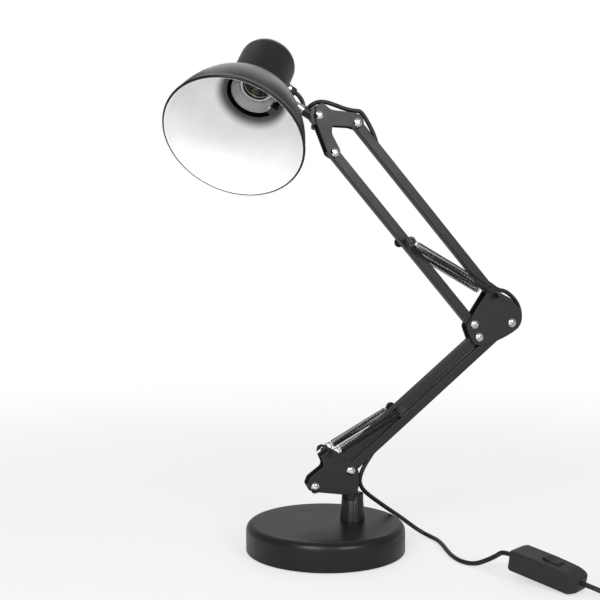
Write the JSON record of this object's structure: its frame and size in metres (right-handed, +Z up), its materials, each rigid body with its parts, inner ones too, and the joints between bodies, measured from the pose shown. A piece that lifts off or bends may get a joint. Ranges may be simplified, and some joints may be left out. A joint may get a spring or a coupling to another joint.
{
  "type": "balanced arm desk lamp",
  "caption": "Spring-balanced parallelogram-arm desk lamp with a domed metal shade, a round weighted base, a screw lamp holder and a cord with an in-line switch.",
  "frame": {"origin": "centre of the underside of the round base, on the table", "axes": "+Z up; the arms fold in the plane y = 0, the elbow towards +X and the shade towards -X; the near side of the picture is -Y"},
  "size_m": [0.4804, 0.2965, 0.5094],
  "materials": {
    "black_paint": "satin black powder coat",
    "shade_enamel": "satin black outside, white inside",
    "weight_iron": "rough casting, hidden",
    "pad_rubber": "matt",
    "screw_chrome": "bright plated",
    "spring_steel": "blackened wire",
    "bolt_steel": "blackened",
    "stem_chrome": "bright plated",
    "socket_moulding": "moulded, satin",
    "socket_metal": "plain sheet",
    "contact_brass": "plain",
    "cord_cover": "flexible, satin",
    "switch_moulding": "moulded, fine grain",
    "pin_nickel": "nickel plated"
  },
  "bodies": {
    "base": {"base_shell": "black_paint", "base_weight": "weight_iron", "base_pad": "pad_rubber", "base_post": "black_paint", "cord_drop": "cord_cover", "cord_tail": "cord_cover", "cord_coil": "cord_cover", "switch_top": "switch_moulding", "switch_bottom": "switch_moulding", "plug_body": "switch_moulding", "plug_pin_left": "pin_nickel", "plug_pin_right": "pin_nickel"},
    "switch_key": {"switch_rocker": "switch_moulding"},
    "turret": {"turret_block": "black_paint", "turret_plate_near": "black_paint", "turret_plate_far": "black_paint", "turret_screw_inner": "screw_chrome", "turret_screw_outer": "screw_chrome"},
    "lower_arm": {"lower_bar_outer": "black_paint", "cord_hip": "cord_cover", "cord_elbow_low": "cord_cover"},
    "lower_rod": {"lower_bar_inner": "black_paint", "lower_anchor_bolt": "bolt_steel", "lower_anchor_nut": "bolt_steel", "lower_spring_near": "spring_steel", "lower_spring_far": "spring_steel"},
    "elbow_joint": {"elbow_plate_near": "black_paint", "elbow_plate_far": "black_paint", "elbow_screw_upper": "screw_chrome", "elbow_screw_lower": "screw_chrome", "elbow_screw_outer": "screw_chrome", "elbow_axle": "black_paint"},
    "upper_arm": {"upper_bar_outer": "black_paint", "cord_elbow_top": "cord_cover", "cord_upper_run": "cord_cover"},
    "upper_rod": {"upper_bar_inner": "black_paint", "upper_anchor_bolt": "bolt_steel", "upper_anchor_nut": "bolt_steel", "upper_spring_near": "spring_steel", "upper_spring_far": "spring_steel"},
    "head_bracket": {"head_plate_near": "black_paint", "head_plate_far": "black_paint", "head_screw_lower": "screw_chrome", "head_screw_upper": "screw_chrome", "tilt_screw": "screw_chrome", "cord_tilt_loop": "cord_cover"},
    "tilt_arm": {"tilt_knuckle": "black_paint", "head_stem": "stem_chrome"},
    "wing": {"wing_nut": "stem_chrome"},
    "head": {"shade_shell": "shade_enamel", "shade_cap": "shade_enamel", "gland_nut": "stem_chrome", "cord_gland": "socket_moulding", "cord_gland_loop": "cord_cover", "socket_body": "socket_moulding", "socket_thread": "socket_metal", "socket_contact": "contact_brass", "socket_skirt": "socket_metal", "terminal_block": "socket_moulding", "terminal_screw": "screw_chrome"}
  },
  "joints": [
    {"name": "base_swivel", "type": "hinge", "parent": "base", "child": "turret", "pos_m": [0.0285, 0, 0.0505], "axis": [0, 0, 1], "range_deg": [-94, 75], "deforming": ["cord_drop"]},
    {"name": "lower_arm", "type": "hinge", "parent": "turret", "child": "lower_arm", "pos_m": [0.02423, 0, 0.08033], "axis": [0, -1, 0], "range_deg": [-3, 50], "deforming": ["cord_hip"]},
    {"name": "lower_rod", "type": "hinge", "parent": "turret", "child": "lower_rod", "pos_m": [-0.0129, 0, 0.066], "axis": [0, -1, 0], "range_deg": [-3, 50], "deforming": ["lower_spring_near", "lower_spring_far"]},
    {"name": "elbow_level", "type": "hinge", "parent": "lower_arm", "child": "elbow_joint", "pos_m": [0.20163, 0, 0.22672], "axis": [0, -1, 0], "range_deg": [-50, 3], "deforming": ["cord_elbow_low"]},
    {"name": "upper_arm", "type": "hinge", "parent": "elbow_joint", "child": "upper_arm", "pos_m": [0.18258, 0, 0.25607], "axis": [0, -1, 0], "range_deg": [-60, 48], "deforming": ["cord_elbow_top"]},
    {"name": "upper_rod", "type": "hinge", "parent": "elbow_joint", "child": "upper_rod", "pos_m": [0.1591, 0, 0.22569], "axis": [0, -1, 0], "range_deg": [-60, 48], "deforming": ["upper_spring_near", "upper_spring_far"]},
    {"name": "head_level", "type": "hinge", "parent": "upper_arm", "child": "head_bracket", "pos_m": [0.03096, 0, 0.42902], "axis": [0, -1, 0], "range_deg": [-48, 60], "deforming": ["cord_upper_run"]},
    {"name": "head_tilt", "type": "hinge", "parent": "head_bracket", "child": "tilt_arm", "pos_m": [-0.00872, 0, 0.43484], "axis": [0, -1, 0], "range_deg": [-39, 75], "deforming": ["cord_tilt_loop"]},
    {"name": "head_roll", "type": "hinge", "parent": "tilt_arm", "child": "head", "pos_m": [-0.01024, 0, 0.43225], "axis": [-0.8629, 0, 0.5054], "range_deg": [-180, 180], "deforming": ["cord_gland_loop"]},
    {"name": "wing_nut_turn", "type": "hinge", "parent": "head_bracket", "child": "wing", "pos_m": [-0.00872, 0.0112, 0.43484], "axis": [0, 1, 0], "range_deg": [-90, 90]},
    {"name": "switch_rock", "type": "hinge", "parent": "base", "child": "switch_key", "pos_m": [0.16238, -0.16244, 0.02016], "axis": [0.8438, 0.5367, 0], "range_deg": [-14, 0]}
  ],
  "couplings": [
    {"joint": "lower_rod", "follows": "lower_arm", "ratio": 1},
    {"joint": "elbow_level", "follows": "lower_arm", "ratio": -1},
    {"joint": "upper_rod", "follows": "upper_arm", "ratio": 1},
    {"joint": "head_level", "follows": "upper_arm", "ratio": -1}
  ]
}
